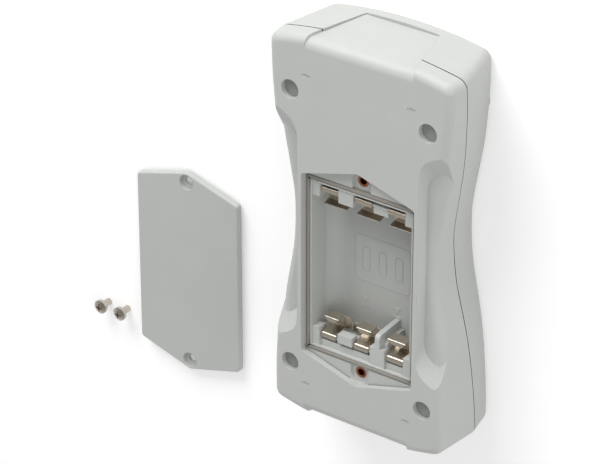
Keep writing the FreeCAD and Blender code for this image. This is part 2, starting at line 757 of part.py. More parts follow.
def hooked_strip(shelf, leaf, columns):
    """Return a contact hooked over a rib, drawn from its end wall, with a leaf for each cell."""
    hook = RIB_DEPTH - CONTACT_FIT
    rear = rib_start(shelf) - CONTACT_FIT
    front = shelf + CONTACT_FIT
    path = [(rear, SHELF_DEPTH - CONTACT_FIT), (rear, hook), (front, hook)]
    path += [(front + reach, depth) for reach, depth in leaf]
    radii = [0] + [BEND_RADIUS] * (len(path) - 2) + [0]
    x0 = columns[0] - SPRING_WIDTH / 2
    x1 = columns[-1] + SPRING_WIDTH / 2
    contact = strip(path, radii, x0, x1)
    leg = front + 2 * STRIP
    hook_floor = height(SHELF_DEPTH + CONTACT_FIT)
    edges = [x0]
    for x in columns:
        edges += [x - HOOK_WIDTH / 2, x + HOOK_WIDTH / 2]
    edges.append(x1)
    cuts = []
    for left, right in zip(edges[0::2], edges[1::2]):
        cuts.append(box(left, right, 0, leg, hook_floor, CASE_DEPTH))
    for left, right in zip(columns, columns[1:]):
        gap = (left + SPRING_WIDTH / 2, right - SPRING_WIDTH / 2)
        cuts.append(box(*gap, leg, front + BRIDGE_REACH, height(BRIDGE_DEPTH), CASE_DEPTH))
        cuts.append(box(*gap, front + BRIDGE_REACH, REACH, 0, CASE_DEPTH))
    return contact.cut(cuts)


def bottom_contact(columns):
    """Return a contact of the bottom end, whose leaves bow up to a crest against the cells."""
    contact = hooked_strip(BOTTOM_SHELF, LEAF_PATH, columns)
    contact.translate(Vector(0, BAY_BOTTOM_Y, 0))
    return contact


def top_contact(columns):
    """Return a contact of the top end, whose tongues turn up against the cells."""
    contact = hooked_strip(TOP_SHELF, TONGUE_PATH, columns)
    contact = contact.mirror(Vector(0, 0, 0), Vector(0, 1, 0))
    contact.translate(Vector(0, BAY_TOP_Y, 0))
    return contact


def make_plug(x, y):
    """Return one of the plugs that close the case screws' holes."""
    top = height(PLUG_DEPTH)
    return cylinder(SCREW_HOLE_RADIUS - PLUG_CLEARANCE, x, y, top - PLUG_LENGTH, top)


def make_case_screws():
    """Return the four screws that hold the shells together."""
    screws = []
    for x, y in corners(SCREW_X, SCREW_Y):
        screw = dome_screw(CASE_SCREW_LENGTH)
        screw.translate(Vector(x, y, screw_seat(y) - CASE_SCREW_LENGTH))
        screws.append(screw)
    return Part.makeCompound(screws)


def make_case_inserts():
    """Return the four brass inserts in the front shell's bosses."""
    bore = THREAD_RADIUS + THREAD_CLEARANCE
    places = corners(SCREW_X, SCREW_Y)
    return Part.makeCompound([ring_insert(INSERT_RADIUS, bore, x, y, insert_top(y)) for x, y in places])


def make_cover_inserts():
    """Return the two brass inserts that take the cover's screws."""
    bore = THREAD_RADIUS + THREAD_CLEARANCE
    top = height(POCKET_DEPTH)
    places = cover_screw_places(COVER_Y)
    return Part.makeCompound([ring_insert(INSERT_RADIUS, bore, 0, y, top) for y in places])


def make_cover_screws():
    """Return the two cover screws, standing on their tips beside the cover."""
    screws = []
    for x, y in COVER_SCREW_REST:
        screw = dome_screw(COVER_SCREW_LENGTH)
        screw.translate(Vector(x, y, 0))
        screws.append(screw)
    return Part.makeCompound(screws)


def export(name, shape):
    """Write one node's solids to its file and print what it measures."""
    shape.exportStep("parts/%s.step" % name)
    print("%-24s solids %d valid %s volume %9.1f" % (name, len(shape.Solids), shape.isValid(), shape.Volume))


def main():
    """Build and write every piece."""
    export("rear_shell", make_rear_shell())
    export("front_shell", make_front_shell())
    export("case_seal", case_seal_ring())
    export("battery_cover", make_cover())
    export("battery_seal", seal_ring())
    export("contact_bottom_bridge", bottom_contact((-CELL_PITCH, 0)))
    export("contact_bottom_single", bottom_contact((CELL_PITCH,)))
    export("contact_top_single", top_contact((-CELL_PITCH,)))
    export("contact_top_bridge", top_contact((0, CELL_PITCH)))
    for name, (x, y) in zip(PLUG_NAMES, corners(SCREW_X, SCREW_Y)):
        export("screw_plug_" + name, make_plug(x, y))
    export("case_screws", make_case_screws())
    export("case_inserts", make_case_inserts())
    export("cover_inserts", make_cover_inserts())
    export("cover_screws", make_cover_screws())


main()
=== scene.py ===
"""Looks of a handheld electronics enclosure whose battery cover is taken off.

The case lies on its front face with its open battery compartment up. Every piece is in metres, in
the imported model's own frame: X across the case, Y towards its top end, Z up from the surface that
it lies on. The sizes that the pieces' classes hold are in millimetres, with depths below the rear
face.
"""

import logging
import math
from dataclasses import dataclass, field
from enum import Enum

import bmesh
import bpy
from mathutils import Matrix, Vector


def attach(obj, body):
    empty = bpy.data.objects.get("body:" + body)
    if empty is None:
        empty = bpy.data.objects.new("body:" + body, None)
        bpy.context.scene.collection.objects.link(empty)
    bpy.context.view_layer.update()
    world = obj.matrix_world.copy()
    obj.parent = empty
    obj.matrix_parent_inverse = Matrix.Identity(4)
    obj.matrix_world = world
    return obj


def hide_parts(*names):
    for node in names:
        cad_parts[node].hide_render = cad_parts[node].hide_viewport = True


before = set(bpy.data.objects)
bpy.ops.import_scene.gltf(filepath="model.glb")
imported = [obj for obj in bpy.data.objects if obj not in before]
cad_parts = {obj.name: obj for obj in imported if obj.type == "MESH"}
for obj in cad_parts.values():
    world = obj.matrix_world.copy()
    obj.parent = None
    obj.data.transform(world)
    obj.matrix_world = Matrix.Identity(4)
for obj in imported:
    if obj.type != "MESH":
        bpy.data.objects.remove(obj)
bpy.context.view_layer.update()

MM = 0.001
CASE_DEPTH = 35.5
LOG = logging.getLogger("enclosure")

Triple = tuple[float, float, float]
Span = tuple[float, float]

# What most of a noise pattern lies between
PATTERN_ENDS: Span = (0.3, 0.7)
SOFT_EDGE_SAMPLES = 6

# Angles from which an edge stays sharp, in degrees, and how much large faces rule the shading
PLASTIC_CREASE = 27.0
METAL_CREASE = 35.0
RUBBER_CREASE = 40.0
FLAT_FACE_WEIGHT = 90

# Millimetres: triangles' corners this close are one, and corners this close to a top lie in it
MERGED = 0.001
NEAR = 0.1

# A face whose normal rises less than this isn't level
LEVEL = 0.5


class Slot(Enum):
    """The record's material slots."""

    CASE = "case_plastic"
    PLUG = "plug_plastic"
    SEAL = "seal_rubber"
    CONTACT = "contact_nickel"
    SCREW = "screw_steel"
    INSERT = "insert_brass"


class Shader:
    """A material's node tree, built from its surface shader outwards."""

    def __init__(self, name: str) -> None:
        """Start a material with one plain surface shader.

        Args:
            name: The material's name.
        """
        self.material = bpy.data.materials.new(name)
        self.material.use_nodes = True
        self.tree = self.material.node_tree
        self.surface = self.tree.nodes["Principled BSDF"]
        self.place = self.add("ShaderNodeTexCoord").outputs["Object"]

    def add(self, kind: str, **values: object) -> bpy.types.ShaderNode:
        """Add a node and set its sockets by name, with underscores for spaces.

        Args:
            kind: The node's type name.
            values: Values for its input sockets.

        Returns:
            The new node.
        """
        node = self.tree.nodes.new(kind)
        for name, value in values.items():
            node.inputs[name.replace("_", " ")].default_value = value
        return node

    def link(self, source: bpy.types.NodeSocket, target: bpy.types.NodeSocket) -> None:
        """Join an output socket to an input socket."""
        self.tree.links.new(source, target)

    def set(self, **values: object) -> None:
        """Set the surface shader's own sockets, with underscores for spaces."""
        for name, value in values.items():
            self.surface.inputs[name.replace("_", " ")].default_value = value

    def noise(self, grain: float, detail: float = 3.0) -> bpy.types.NodeSocket:
        """Add a noise pattern of a real size.

        Args:
            grain: The size of one fleck, in metres.
            detail: How many finer layers it has.

        Returns:
            The pattern's value, from 0 to 1.
        """
        node = self.add("ShaderNodeTexNoise", Scale=1.0 / grain, Detail=detail)
        self.link(self.place, node.inputs["Vector"])
        return node.outputs["Fac"]

    def tint(self, pattern: bpy.types.NodeSocket, colour: Triple, shares: Span) -> None:
        """Colour the surface by a pattern.

        Args:
            pattern: The pattern's value.
            colour: The colour.
            shares: How much of the colour's brightness the pattern's two ends have.
        """
        node = self.add("ShaderNodeValToRGB")
        for stop, position, share in zip(node.color_ramp.elements, PATTERN_ENDS, shares):
            stop.position = position
            stop.color = (*(c * share for c in colour), 1.0)
        self.link(pattern, node.inputs["Fac"])
        self.link(node.outputs["Color"], self.surface.inputs["Base Color"])

    def roughen(self, pattern: bpy.types.NodeSocket, low: float, high: float) -> None:
        """Vary the surface's roughness between two values by a pattern.

        Args:
            pattern: The pattern's value.
            low: The roughness at the pattern's low end.
            high: The roughness at its high end.
        """
        start, end = PATTERN_ENDS
        node = self.add("ShaderNodeMapRange", From_Min=start, From_Max=end, To_Min=low, To_Max=high)
        self.link(pattern, node.inputs["Value"])
        self.link(node.outputs["Result"], self.surface.inputs["Roughness"])

    def relief(self, pattern: bpy.types.NodeSocket, height: float, edge_radius: float) -> None:
        """Give the surface a fine relief and softened edges.

        Args:
            pattern: The pattern that is the relief.
            height: The relief's height, in metres.
            edge_radius: The radius that sharp edges are softened to, in metres.
        """
        bump = self.add("ShaderNodeBump", Strength=1.0, Distance=height)
        self.link(pattern, bump.inputs["Height"])
        soft = self.add("ShaderNodeBevel", Radius=edge_radius)
        soft.samples = SOFT_EDGE_SAMPLES
        self.link(soft.outputs["Normal"], bump.inputs["Normal"])
        self.link(bump.outputs["Normal"], self.surface.inputs["Normal"])


@dataclass(frozen=True)
class MouldedPlastic:
    """Spark-eroded matt plastic, with faint cloudiness and softened edges."""

    name: str
    colour: Triple
    roughness: float = 0.5
    roughness_swing: float = 0.04
    grain: float = 0.45 * MM
    grain_height: float = 0.012 * MM
    cloud: float = 14.0 * MM
    cloud_shares: Span = (0.988, 1.012)
    edge_radius: float = 0.3 * MM

    def material(self) -> bpy.types.Material:
        """Build the finish.

        Returns:
            Its material.
        """
        shader = Shader(self.name)
        shader.tint(shader.noise(self.cloud), self.colour, self.cloud_shares)
        grain = shader.noise(self.grain)
        swing = self.roughness_swing
        shader.roughen(grain, self.roughness - swing, self.roughness + swing)
        shader.relief(grain, self.grain_height, self.edge_radius)
        return shader.material


@dataclass(frozen=True)
class SealRubber:
    """Soft foam rubber with a dull skin and fine pores."""

    name: str
    colour: Triple
    roughness: float = 0.75
    pore: float = 0.3 * MM
    pore_detail: float = 4.0
    pore_height: float = 0.04 * MM
    pore_shares: Span = (0.88, 1.08)
    edge_radius: float = 0.2 * MM

    def material(self) -> bpy.types.Material:
        """Build the finish.

        Returns:
            Its material.
        """
        shader = Shader(self.name)
        pores = shader.noise(self.pore, self.pore_detail)
        shader.tint(pores, self.colour, self.pore_shares)
        shader.set(Roughness=self.roughness)
        shader.relief(pores, self.pore_height, self.edge_radius)
        return shader.material


@dataclass(frozen=True)
class PlatedMetal:
    """Plated or bare metal, drawn in one direction, with faint stains."""

    name: str
    colour: Triple
    roughness: float
    drawn: Triple = (1.0, 1.0, 1.0)
    roughness_shares: Span = (0.8, 1.25)
    streak: float = 0.35 * MM
    streak_height: float = 0.003 * MM
    stain: float = 4.2 * MM
    stain_detail: float = 2.0
    stain_shares: Span = (0.9, 1.05)
    edge_radius: float = 0.08 * MM

    def material(self) -> bpy.types.Material:
        """Build the finish.

        Returns:
            Its material.
        """
        shader = Shader(self.name)
        stretch = shader.add("ShaderNodeMapping", Scale=self.drawn)
        shader.link(shader.place, stretch.inputs["Vector"])
        shader.place = stretch.outputs["Vector"]
        streaks = shader.noise(self.streak)
        stains = shader.noise(self.stain, self.stain_detail)
        shader.tint(stains, self.colour, self.stain_shares)
        shader.set(Metallic=1.0)
        low, high = self.roughness_shares
        shader.roughen(streaks, self.roughness * low, self.roughness * high)
        shader.relief(streaks, self.streak_height, self.edge_radius)
        return shader.material


@dataclass(frozen=True)
class PaleFloor:
    """Matt pale floor that looks white to the camera and keeps the shadow that falls on it."""

    name: str = "pale_floor"
    colour: Triple = (0.86, 0.86, 0.86)
    shares: Span = (0.995, 1.0)
    roughness: float = 0.9
    lift: float = 0.3
    grain: float = 1.5 * MM
    detail: float = 2.0

    def material(self) -> bpy.types.Material:
        """Build the finish.

        Returns:
            Its material.
        """
        shader = Shader(self.name)
        shader.tint(shader.noise(self.grain, self.detail), self.colour, self.shares)
        rays = shader.add("ShaderNodeLightPath")
        seen = rays.outputs["Is Camera Ray"]
        for name in ("Is Glossy Ray", "Is Transmission Ray"):
            either = shader.add("ShaderNodeMath")
            either.operation = "MAXIMUM"
            shader.link(seen, either.inputs[0])
            shader.link(rays.outputs[name], either.inputs[1])
            seen = either.outputs["Value"]
        strength = shader.add("ShaderNodeMath")
        strength.operation = "MULTIPLY"
        strength.inputs[1].default_value = self.lift
        shader.link(seen, strength.inputs[0])
        shader.set(Roughness=self.roughness, Emission_Color=(1.0, 1.0, 1.0, 1.0))
        shader.link(strength.outputs["Value"], shader.surface.inputs["Emission Strength"])
        return shader.material


@dataclass
class Finishes:
    """The object's finishes: one material for each slot, and one dark material that paints shade
    inside the case's joint.
    """

    materials: dict[Slot, bpy.types.Material] = field(default_factory=dict, init=False)
    joint: bpy.types.Material = field(init=False)

    def __post_init__(self) -> None:
        """Build every finish once."""
        finishes = {
            Slot.CASE: MouldedPlastic("case_plastic", (0.50, 0.513, 0.493)),
            # The plugs' grey is their plastic tone darkened to paint the shade inside the deep
            # holes that they sit in.
            Slot.PLUG: MouldedPlastic("plug_plastic", (0.30, 0.308, 0.296), grain=0.35 * MM),
            Slot.SEAL: SealRubber("seal_rubber", (0.30, 0.28, 0.25)),
            Slot.CONTACT: PlatedMetal(
                "contact_nickel", (0.55, 0.49, 0.41), roughness=0.29, drawn=(1.0, 8.0, 8.0)
            ),
            Slot.SCREW: PlatedMetal("screw_steel", (0.54, 0.495, 0.435), roughness=0.15),
            Slot.INSERT: PlatedMetal("insert_brass", (0.38, 0.155, 0.085), roughness=0.34),
        }
        for slot, finish in finishes.items():
            self.materials[slot] = finish.material()
        # Near-black material that paints the shade inside the case's joint, in place of the shell's
        # own plastic colour.
        self.joint = MouldedPlastic("joint_painted_shade", (0.07, 0.07, 0.067), roughness=0.7).material()

    def dress(self, piece: bpy.types.Object, slot: Slot) -> None:
        """Give a piece the finish of its slot.

        Args:
            piece: The object to dress.
            slot: The record's slot that it takes its finish from.
        """
        piece.data.materials.clear()
        piece.data.materials.append(self.materials[slot])


def place(x: float, y: float, depth: float) -> Vector:
    """Return a place given in millimetres, with its depth below the rear face."""
    return Vector((x, y, CASE_DEPTH - depth)) * MM


def about(middle: float, half: float) -> Span:
    """Return the two sides of something from its middle and half its width."""
    return (middle - half, middle + half)


def fresh_object(name: str, mesh: bmesh.types.BMesh) -> bpy.types.Object:
    """Make an object at the origin from a finished bmesh.

    Args:
        name: The object's name.
        mesh: The bmesh, which is freed.

    Returns:
        The new object, linked to the scene.
    """
    data = bpy.data.meshes.new(name)
    mesh.to_mesh(data)
    mesh.free()
    piece = bpy.data.objects.new(name, data)
    bpy.context.scene.collection.objects.link(piece)
    return piece


def merged_copy(node: str) -> bmesh.types.BMesh:
    """Copy a solid's mesh with its triangles joined.

    Args:
        node: The solid's node.

    Returns:
        The copy.
    """
    mesh = bmesh.new()
    mesh.from_mesh(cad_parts[node].data)
    bmesh.ops.remove_doubles(mesh, verts=mesh.verts, dist=MERGED * MM)
    return mesh


def carved(mesh: bmesh.types.BMesh, tool: bmesh.types.BMesh) -> bmesh.types.BMesh:
    """Cut a tool's space out of a mesh.

    Args:
        mesh: The mesh that is cut, which is freed.
        tool: The closed space that comes off, which is freed.

    Returns:
        The mesh that is left.
    """
    body = fresh_object("body", mesh)
    cutter = fresh_object("cutter", tool)
    cut = body.modifiers.new("cut", "BOOLEAN")
    cut.operation = "DIFFERENCE"
    cut.solver = "EXACT"
    cut.object = cutter
    evaluated = body.evaluated_get(bpy.context.evaluated_depsgraph_get())
    left = bmesh.new()
    left.from_mesh(evaluated.to_mesh())
    evaluated.to_mesh_clear()
    for scrap in (body, cutter):
        data = scrap.data
        bpy.data.objects.remove(scrap)
        bpy.data.meshes.remove(data)
    return left


def round_edges(
    mesh: bmesh.types.BMesh, edges: list[bmesh.types.BMEdge], radius: float, segments: int
) -> None:
    """Round edges off.

    Args:
        mesh: The bmesh that holds them.
        edges: The edges.
        radius: How far the rounding reaches from each, in millimetres.
        segments: How many faces it has.
    """
    bmesh.ops.bevel(
        mesh,
        geom=edges,
        offset=radius * MM,
        segments=segments,
        profile=0.5,
        affect="EDGES",
        material=-1,
    )


def add_block(
    mesh: bmesh.types.BMesh, across: Span, along: Span, depths: Span
) -> list[bmesh.types.BMVert]:
    """Add a box that is given by its sides in millimetres.

    Args:
        mesh: The bmesh that takes it.
        across: Its sides along X.
        along: Its sides along Y.
        depths: Its upper and lower face, as depths below the rear face.

    Returns:
        Its corners.
    """
    low = place(across[0], along[0], depths[1])
    high = place(across[1], along[1], depths[0])
    matrix = Matrix.Translation((low + high) / 2) @ Matrix.Diagonal((*(high - low), 1.0))
    return bmesh.ops.create_cube(mesh, size=1.0, matrix=matrix)["verts"]


def add_ring(
    mesh: bmesh.types.BMesh, across: Span, along: Span, depths: Span, corner: float, width: float
) -> None:
    """Add a closed band that follows a rounded rectangle.

    Args:
        mesh: The bmesh that takes it.
        across: The rectangle's sides along X, in millimetres.
        along: Its sides along Y.
        depths: The band's upper and lower face, as depths below the rear face.
        corner: The radius of the rectangle's corners.
        width: How wide the band is, inwards.
    """
    known = set(mesh.faces)
    low = place(across[0], along[0], depths[0])
    high = place(across[1], along[1], depths[0])
    size = high - low
    matrix = Matrix.Translation((low + high) / 2) @ Matrix.Diagonal((size.x, size.y, 1.0, 1.0))
    grid = bmesh.ops.create_grid(mesh, x_segments=1, y_segments=1, size=0.5, matrix=matrix)
    bmesh.ops.bevel(
        mesh,
        geom=grid["verts"],
        offset=corner * MM,
        segments=6,
        profile=0.5,
        affect="VERTICES",
        material=-1,
    )
    inside = [face for face in mesh.faces if face not in known]
    band = bmesh.ops.inset_region(
        mesh, faces=inside, use_boundary=True, use_even_offset=True, thickness=width * MM
    )["faces"]
    bmesh.ops.delete(mesh, geom=inside, context="FACES_ONLY")
    bmesh.ops.solidify(mesh, geom=band, thickness=(depths[1] - depths[0]) * MM)


@dataclass(frozen=True)
class Piece:
    """A piece that rides on the case.

    Attributes:
        name: Its name.
        slot: The record's slot that it takes its finish from.
        nodes: The solids that it stands for.
        crease: The angle from which its edges stay sharp, in degrees.
    """

    name: str
    slot: Slot = Slot.CASE
    nodes: tuple[str, ...] = ()
    crease: float = PLASTIC_CREASE

    def shape(self) -> bmesh.types.BMesh:
        """Return the piece's finished mesh."""
        raise NotImplementedError

    def build(self, finishes: Finishes) -> bpy.types.Object:
        """Make the piece, with its round stretches smooth and its finish on.

        Args:
            finishes: The object's finishes.

        Returns:
            The piece, riding on the case.
        """
        mesh = self.shape()
        limit = math.radians(self.crease)
        for face in mesh.faces:
            face.smooth = True
        for edge in mesh.edges:
            edge.smooth = len(edge.link_faces) == 2 and edge.calc_face_angle(math.pi) < limit
        piece = fresh_object(self.name, mesh)
        weights = piece.modifiers.new("flat_faces_stay_flat", "WEIGHTED_NORMAL")
        weights.keep_sharp = True
        weights.weight = FLAT_FACE_WEIGHT
        finishes.dress(piece, self.slot)
        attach(piece, "root")
        if self.nodes:
            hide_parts(*self.nodes)
        LOG.info("%s: %d faces in %s", piece.name, len(piece.data.polygons), self.slot.value)
        return piece


@dataclass(frozen=True)
class SmoothSkin(Piece):
    """A solid's own form with its round stretches shaded smooth."""

    @classmethod
    def of(cls, node: str, slot: Slot, crease: float = PLASTIC_CREASE) -> "SmoothSkin":
        """Return the skin of one solid.

        Args:
            node: The solid's node.
            slot: The record's slot that it takes its finish from.
            crease: The angle from which its edges stay sharp, in degrees.

        Returns:
            The skin, not built yet.
        """
        return cls(node + "_skin", slot, (node,), crease)

    def shape(self) -> bmesh.types.BMesh:
        """Copy the solid's mesh."""
        return merged_copy(self.nodes[0])


@dataclass(frozen=True)
class RearShell(SmoothSkin):
    """The rear shell, with its compartment's flat floor and slots and its rear face's marks."""

    name: str = "rear_shell_skin"
    nodes: tuple[str, ...] = ("rear_shell",)
    floor_half: float = 15.2
    floor_ends: Span = (-44.79, 18.59)
    floor_depths: Span = (8.0, 18.04)
    cell_places: tuple[float, ...] = (-15.2, 0.0, 15.2)
    slot_half: float = 3.9
    slot_ends: tuple[Span, ...] = ((-47.6, -46.12), (19.92, 21.4))
    slot_depths: Span = (7.9, 13.0)
    mark_x: float = 23.7
    mark_y: float = 67.6
    mark_step: float = 1.35
    mark_half: float = 0.45
    mark_depths: Span = (-1.0, 0.18)

    def shape(self) -> bmesh.types.BMesh:
        """Copy the solid's mesh and cut the finer spaces out of it.

        Returns:
            The shell's mesh.
        """
        tool = bmesh.new()
        add_block(tool, about(0.0, self.floor_half), self.floor_ends, self.floor_depths)
        for ends in self.slot_ends:
            for x in self.cell_places:
                add_block(tool, about(x, self.slot_half), ends, self.slot_depths)
        for x in (-self.mark_x, self.mark_x):
            for y in (-self.mark_y, self.mark_y):
                for step in (-self.mark_step, self.mark_step):
                    across = about(x + step, self.mark_half)
                    add_block(tool, across, about(y, self.mark_half), self.mark_depths)
        return carved(super().shape(), tool)


@dataclass(frozen=True)
class FrontShell(SmoothSkin):
    """The front shell, with painted shade on the faces at the bottom of the fine joint that runs
    round the case.
    """

    name: str = "front_shell_skin"
    nodes: tuple[str, ...] = ("front_shell",)
    joint_depth: float = 15.3
    joint_tilt: float = 4.8
    joint_shade_band: Span = (-0.505, -0.02)

    def build(self, finishes: Finishes) -> bpy.types.Object:
        """Build the shell and paint shade on the faces inside the joint with the dark material.

        Args:
            finishes: The object's finishes.

        Returns:
            The shell.
        """
        piece = super().build(finishes)
        joint_shade_index = len(piece.data.materials)
        piece.data.materials.append(finishes.joint)
        slope = math.tan(math.radians(self.joint_tilt))
        low, high = self.joint_shade_band
        # Faces inside the joint get the dark material: painted shade for the joint line.
        for face in piece.data.polygons:
            above = face.center.z - place(0.0, 0.0, self.joint_depth).z - face.center.y * slope
            if low * MM < above < high * MM:
                face.material_index = joint_shade_index
        return piece


@dataclass(frozen=True)
class CellDivider(Piece):
    """The stepped wall that keeps the last two cells apart at the bottom end.

    Attributes:
        steps: The right side, the depth of the top and the place of the nose of each step.
    """

    name: str = "cell_divider"
    left: float = 6.5
    start: float = -44.85
    foot_depth: float = 18.3
    lean: float = 0.6
    nose_round: float = 1.8
    steps: tuple[Triple, ...] = ((8.7, 3.63, -36.4), (10.6, 6.2, -40.0))

    def shape(self) -> bmesh.types.BMesh:
        """Raise the wall and its step, each with a leaning nose that is rounded above.

        Returns:
            The wall's mesh.
        """
        mesh = bmesh.new()
        for right, top, nose in self.steps:
            along = (self.start, nose + self.lean)
            corners = add_block(mesh, (self.left, right), along, (top, self.foot_depth))
            roof = place(0.0, 0.0, top + NEAR).z
            brow = [v for v in corners if v.co.z > roof and v.co.y > nose * MM]
            bmesh.ops.translate(mesh, verts=brow, vec=(0.0, -self.lean * MM, 0.0))
            edges = [e for e in brow[0].link_edges if e.other_vert(brow[0]) in brow]
            round_edges(mesh, edges, self.nose_round, segments=6)
        return mesh


@dataclass(frozen=True)
class HolderBars(Piece):
    """The bars behind the contacts' hooks, which leave a narrow slot for each tail."""

    name: str = "contact_holder_bars"
    across: Span = (-22.95, 22.95)
    spans: tuple[Span, ...] = ((-50.25, -47.6), (21.35, 22.25))
    depths: Span = (4.6, 8.05)
    edge_round: float = 0.2

    def shape(self) -> bmesh.types.BMesh:
        """Make both bars.

        Returns:
            The bars' mesh.
        """
        mesh = bmesh.new()
        for span in self.spans:
            add_block(mesh, self.across, span, self.depths)
        round_edges(mesh, mesh.edges[:], self.edge_round, segments=2)
        return mesh


@dataclass(frozen=True)
class FloorMarks(Piece):
    """The low ridges on the compartment's floor: a frame, three cells and two arrows."""

    name: str = "bay_floor_marks"
    top_depth: float = 17.9
    foot_depth: float = 18.4
    width: float = 0.4
    frame_across: Span = (-13.0, 13.0)
    frame_along: Span = (-24.2, -3.8)
    frame_corner: float = 2.2
    cell_places: tuple[float, ...] = (-7.6, 0.0, 7.6)
    cell_half: float = 1.9
    cell_along: Span = (-19.5, -8.5)
    cell_corner: float = 1.805
    arrow_places: tuple[Span, ...] = ((-8.0, -32.2), (7.0, -32.2))
    arrow_radius: float = 2.0
    bar_y: float = -35.3
    bar_half_width: float = 1.75
    bar_half_length: float = 0.4

    def shape(self) -> bmesh.types.BMesh:
        """Raise every ridge from the floor.

        Returns:
            The ridges' mesh.
        """
        mesh = bmesh.new()
        depths = (self.top_depth, self.foot_depth)
        add_ring(mesh, self.frame_across, self.frame_along, depths, self.frame_corner, self.width)
        for x in self.cell_places:
            across = about(x, self.cell_half)
            add_ring(mesh, across, self.cell_along, depths, self.cell_corner, self.width)
        for x, y in self.arrow_places:
            self.add_arrow_head(mesh, x, y)
            along = about(self.bar_y, self.bar_half_length)
            add_block(mesh, about(x, self.bar_half_width), along, depths)
        bmesh.ops.recalc_face_normals(mesh, faces=mesh.faces)
        return mesh

    def add_arrow_head(self, mesh: bmesh.types.BMesh, x: float, y: float) -> None:
        """Raise a three-cornered head that points to the bottom end.

        Args:
            mesh: The bmesh that takes it.
            x: Its middle's place across the case.
            y: Its middle's place along the case.
        """
        middle = Matrix.Translation(place(x, y, self.foot_depth))
        turned = middle @ Matrix.Rotation(math.pi, 4, "Z")
        radius = self.arrow_radius * MM
        corners = bmesh.ops.create_circle(
            mesh, cap_ends=True, segments=3, radius=radius, matrix=turned
        )["verts"]
        grown = bmesh.ops.extrude_face_region(mesh, geom=list(corners[0].link_faces))["geom"]
        risen = [v for v in grown if isinstance(v, bmesh.types.BMVert)]
        rise = (self.foot_depth - self.top_depth) * MM
        bmesh.ops.translate(mesh, verts=risen, vec=(0.0, 0.0, rise))


@dataclass(frozen=True)
class BaySeal(Piece):
    """The soft ring in the groove round the compartment, with a gap at both of its sides."""

    name: str = "battery_seal_ring"
    slot: Slot = Slot.SEAL
    nodes: tuple[str, ...] = ("battery_seal",)
    crease: float = RUBBER_CREASE
    across: Span = (-25.35, 25.35)
    along: Span = (-52.65, 24.65)
    depths: Span = (2.75, 4.25)
    corner: float = 0.9
    width: float = 1.5
    rounding: float = 0.45

    def shape(self) -> bmesh.types.BMesh:
        """Lay the ring and round its upper edges.

        Returns:
            The ring's mesh.
        """
        mesh = bmesh.new()
        add_ring(mesh, self.across, self.along, self.depths, self.corner, self.width)
        bmesh.ops.recalc_face_normals(mesh, faces=mesh.faces)
        roof = place(0.0, 0.0, self.depths[0] + NEAR).z
        upper = [e for e in mesh.edges if all(v.co.z > roof for v in e.verts)]
        rims = [e for e in upper if any(f.normal.z < LEVEL for f in e.link_faces)]
        round_edges(mesh, rims, self.rounding, segments=4)
        return mesh


@dataclass(frozen=True)
class FoldedStrip:
    """A strip of spring metal, folded along a path.

    Attributes:
        path: The place along the case and the depth of its start, each fold and its end.
        sides: Its left and right side at each of them.
        thickness: How thick the metal is.
        bend: How far a fold's rounding reaches.
    """

    path: tuple[Span, ...]
    sides: tuple[Span, ...]
    thickness: float = 0.4
    bend: float = 0.5

    def add_to(self, mesh: bmesh.types.BMesh) -> None:
        """Draw the strip fold by fold, round its folds and give it its thickness.

        Args:
            mesh: The bmesh that takes it.
        """
        known = set(mesh.faces)
        edge = mesh.edges.new([mesh.verts.new(place(x, *self.path[0])) for x in self.sides[0]])
        folds = []
        for (y, depth), (left, right) in zip(self.path[1:], self.sides[1:]):
            grown = bmesh.ops.extrude_edge_only(mesh, edges=[edge])["geom"]
            edges = [e for e in grown if isinstance(e, bmesh.types.BMEdge)]
            edge = next(e for e in edges if all(v in grown for v in e.verts))
            folds.append(edge)
            first, last = sorted(edge.verts, key=lambda v: v.co.x)
            first.co = place(left, y, depth)
            last.co = place(right, y, depth)
        folds.pop()
        if folds:
            round_edges(mesh, folds, self.bend, segments=4)
        mesh.normal_update()
        sheet = [f for f in mesh.faces if f not in known]
        bmesh.ops.solidify(mesh, geom=sheet, thickness=self.thickness * MM)


@dataclass(frozen=True)
class LegContact(Piece):
    """A bottom contact: hooks over the rib, a base, and legs that fold back to a tapered lip.

    Attributes:
        hooks: The sides of each hook.
        legs: The sides of each leg.
        shoulder: How far the shoulder reaches beside each leg.
        bridges: The sides of the strips that join two legs' bases.
    """

    slot: Slot = Slot.CONTACT
    crease: float = METAL_CREASE
    hooks: tuple[Span, ...] = ()
    legs: tuple[Span, ...] = ()
    shoulder: float = 0.0
    bridges: tuple[Span, ...] = ()
    shoulder_overlap: float = 0.3
    lip_taper: float = 1.65
    hook_path: tuple[Span, ...] = ((-46.4, 10.5), (-46.4, 4.6), (-44.6, 4.6))
    leg_path: tuple[Span, ...] = ((-42.9, 10.9), (-37.1, 10.9), (-37.35, 5.6))
    lip_end: Span = (-39.35, 5.6)
    shoulder_path: tuple[Span, ...] = ((-43.1, 10.9), (-37.1, 10.9), (-37.16, 9.7))
    bridge_path: tuple[Span, ...] = ((-43.2, 10.9), (-38.8, 10.9))

    def shape(self) -> bmesh.types.BMesh:
        """Fold every strip of the contact.

        Returns:
            The contact's mesh.
        """
        mesh = bmesh.new()
        path = (*self.hook_path, *self.leg_path, self.lip_end)
        for hook, (left, right) in zip(self.hooks, self.legs):
            sides = [hook] * len(self.hook_path) + [(left, right)] * len(self.leg_path)
            lip = (left + self.lip_taper, right - self.lip_taper)
            FoldedStrip(path, (*sides, lip)).add_to(mesh)
            beside = (right - self.shoulder_overlap, right + self.shoulder)
            FoldedStrip(self.shoulder_path, (beside,) * len(self.shoulder_path)).add_to(mesh)
        for bridge in self.bridges:
            FoldedStrip(self.bridge_path, (bridge,) * len(self.bridge_path)).add_to(mesh)
        bmesh.ops.recalc_face_normals(mesh, faces=mesh.faces)
        return mesh


